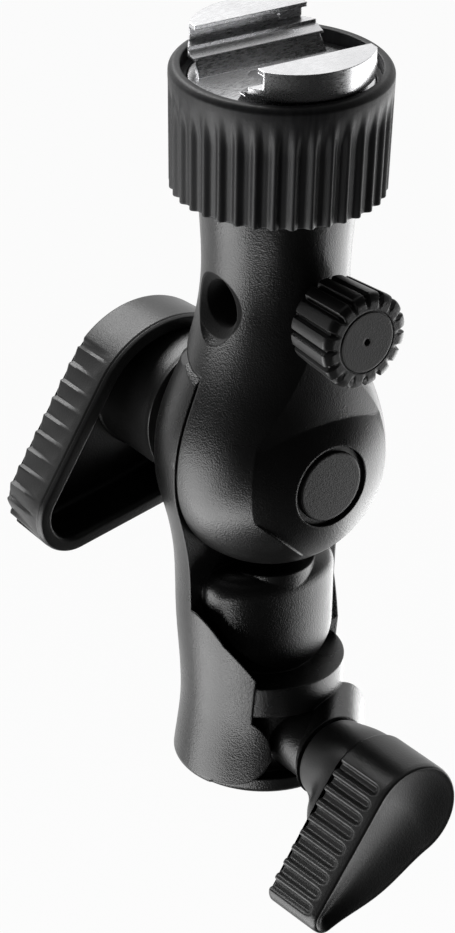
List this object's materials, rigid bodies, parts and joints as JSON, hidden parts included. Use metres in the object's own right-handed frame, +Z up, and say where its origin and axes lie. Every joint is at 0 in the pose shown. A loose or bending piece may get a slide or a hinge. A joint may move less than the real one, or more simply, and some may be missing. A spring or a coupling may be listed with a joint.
{
  "type": "camera tilt head",
  "caption": "Tilting light-stand head: clamped stud socket below, hinged half with umbrella bore and lever-knob tilt lock, ribbed locking ring round an accessory shoe on top.",
  "frame": {"origin": "centre of the stand socket's mouth at the underside of the base", "axes": "+Z up along the socket and the neck, +X along the tilt axis from the large tilt knob towards the capped domed face, +Y along the umbrella bore"},
  "size_m": [0.0915, 0.0595, 0.1704],
  "materials": {
    "black_plastic": "fine-grained satin",
    "knob_plastic": "smooth satin",
    "collar_rubber": "ribbed, dull",
    "silver_metal": "satin, milled",
    "steel": "plated",
    "brass": "turned",
    "liner_metal": "drawn",
    "friction_fibre": "dull",
    "slip_plastic": "smooth",
    "drag_rubber": "dull"
  },
  "bodies": {
    "base": {"base_housing": "black_plastic", "spigot_liner": "liner_metal", "clamp_insert": "brass", "pivot_bushing": "brass", "friction_ring": "friction_fibre"},
    "head": {"head_housing": "black_plastic", "bolt_lock_ring": "knob_plastic", "umbrella_insert": "brass", "pivot_cap": "knob_plastic", "tilt_bolt": "steel", "bolt_washer": "steel", "guide_plate": "silver_metal", "guide_screws": "steel", "drag_ring": "drag_rubber", "cam_washer": "slip_plastic"},
    "thrust": {"thrust_washer": "steel"},
    "tilt_lever": {"tilt_knob": "knob_plastic", "tilt_nut": "steel", "tilt_knob_cap": "knob_plastic"},
    "stud_pad": {"clamp_pad": "brass"},
    "stud_knob": {"clamp_knob": "knob_plastic", "clamp_screw": "steel"},
    "shaft_pad": {"umbrella_pad": "brass"},
    "shaft_knob": {"umbrella_knob": "knob_plastic", "umbrella_screw": "steel"},
    "collar": {"lock_collar": "collar_rubber", "cam_ring": "steel"},
    "near_jaw": {"jaw_near": "silver_metal", "jaw_pin_near": "steel"},
    "far_jaw": {"jaw_far": "silver_metal", "jaw_pin_far": "steel"}
  },
  "joints": [
    {"name": "head_tilt", "type": "hinge", "parent": "base", "child": "head", "pos_m": [0, 0, 0.0706], "axis": [1, 0, 0], "range_deg": [-90, 90]},
    {"name": "tilt_thrust_slide", "type": "slide", "parent": "head", "child": "thrust", "axis": [-1, 0, 0], "range_m": [0, 0.0025]},
    {"name": "tilt_knob_turn", "type": "hinge", "parent": "thrust", "child": "tilt_lever", "pos_m": [0, 0, 0.0706], "axis": [-1, 0, 0], "range_deg": [0, 720]},
    {"name": "clamp_pad_slide", "type": "slide", "parent": "base", "child": "stud_pad", "axis": [1, 0, 0], "range_m": [-0.0006, 0.0025]},
    {"name": "clamp_knob_turn", "type": "hinge", "parent": "stud_pad", "child": "stud_knob", "pos_m": [0, 0, 0.01], "axis": [1, 0, 0], "range_deg": [-172.8, 720]},
    {"name": "umbrella_pad_slide", "type": "slide", "parent": "head", "child": "shaft_pad", "axis": [1, 0, 0], "range_m": [-0.0005, 0.0016]},
    {"name": "umbrella_knob_turn", "type": "hinge", "parent": "shaft_pad", "child": "shaft_knob", "pos_m": [0, 0, 0.1064], "axis": [1, 0, 0], "range_deg": [-225, 720]},
    {"name": "collar_turn", "type": "hinge", "parent": "head", "child": "collar", "pos_m": [0, 0, 0.1285], "axis": [0, 0, 1], "range_deg": [0, 75]},
    {"name": "near_jaw_slide", "type": "slide", "parent": "head", "child": "near_jaw", "axis": [-0.9956, 0.0941, 0], "range_m": [0, 0.0042]},
    {"name": "far_jaw_slide", "type": "slide", "parent": "head", "child": "far_jaw", "axis": [0.9956, -0.0941, 0], "range_m": [0, 0.0042]}
  ],
  "couplings": [
    {"joint": "tilt_thrust_slide", "follows": "tilt_knob_turn", "m_per_rad": 0.00019894},
    {"joint": "clamp_pad_slide", "follows": "clamp_knob_turn", "m_per_rad": 0.00019894},
    {"joint": "umbrella_pad_slide", "follows": "umbrella_knob_turn", "m_per_rad": 0.00012732},
    {"joint": "near_jaw_slide", "follows": "collar_turn", "m_per_rad": 0.0032086},
    {"joint": "far_jaw_slide", "follows": "collar_turn", "m_per_rad": 0.0032086}
  ]
}
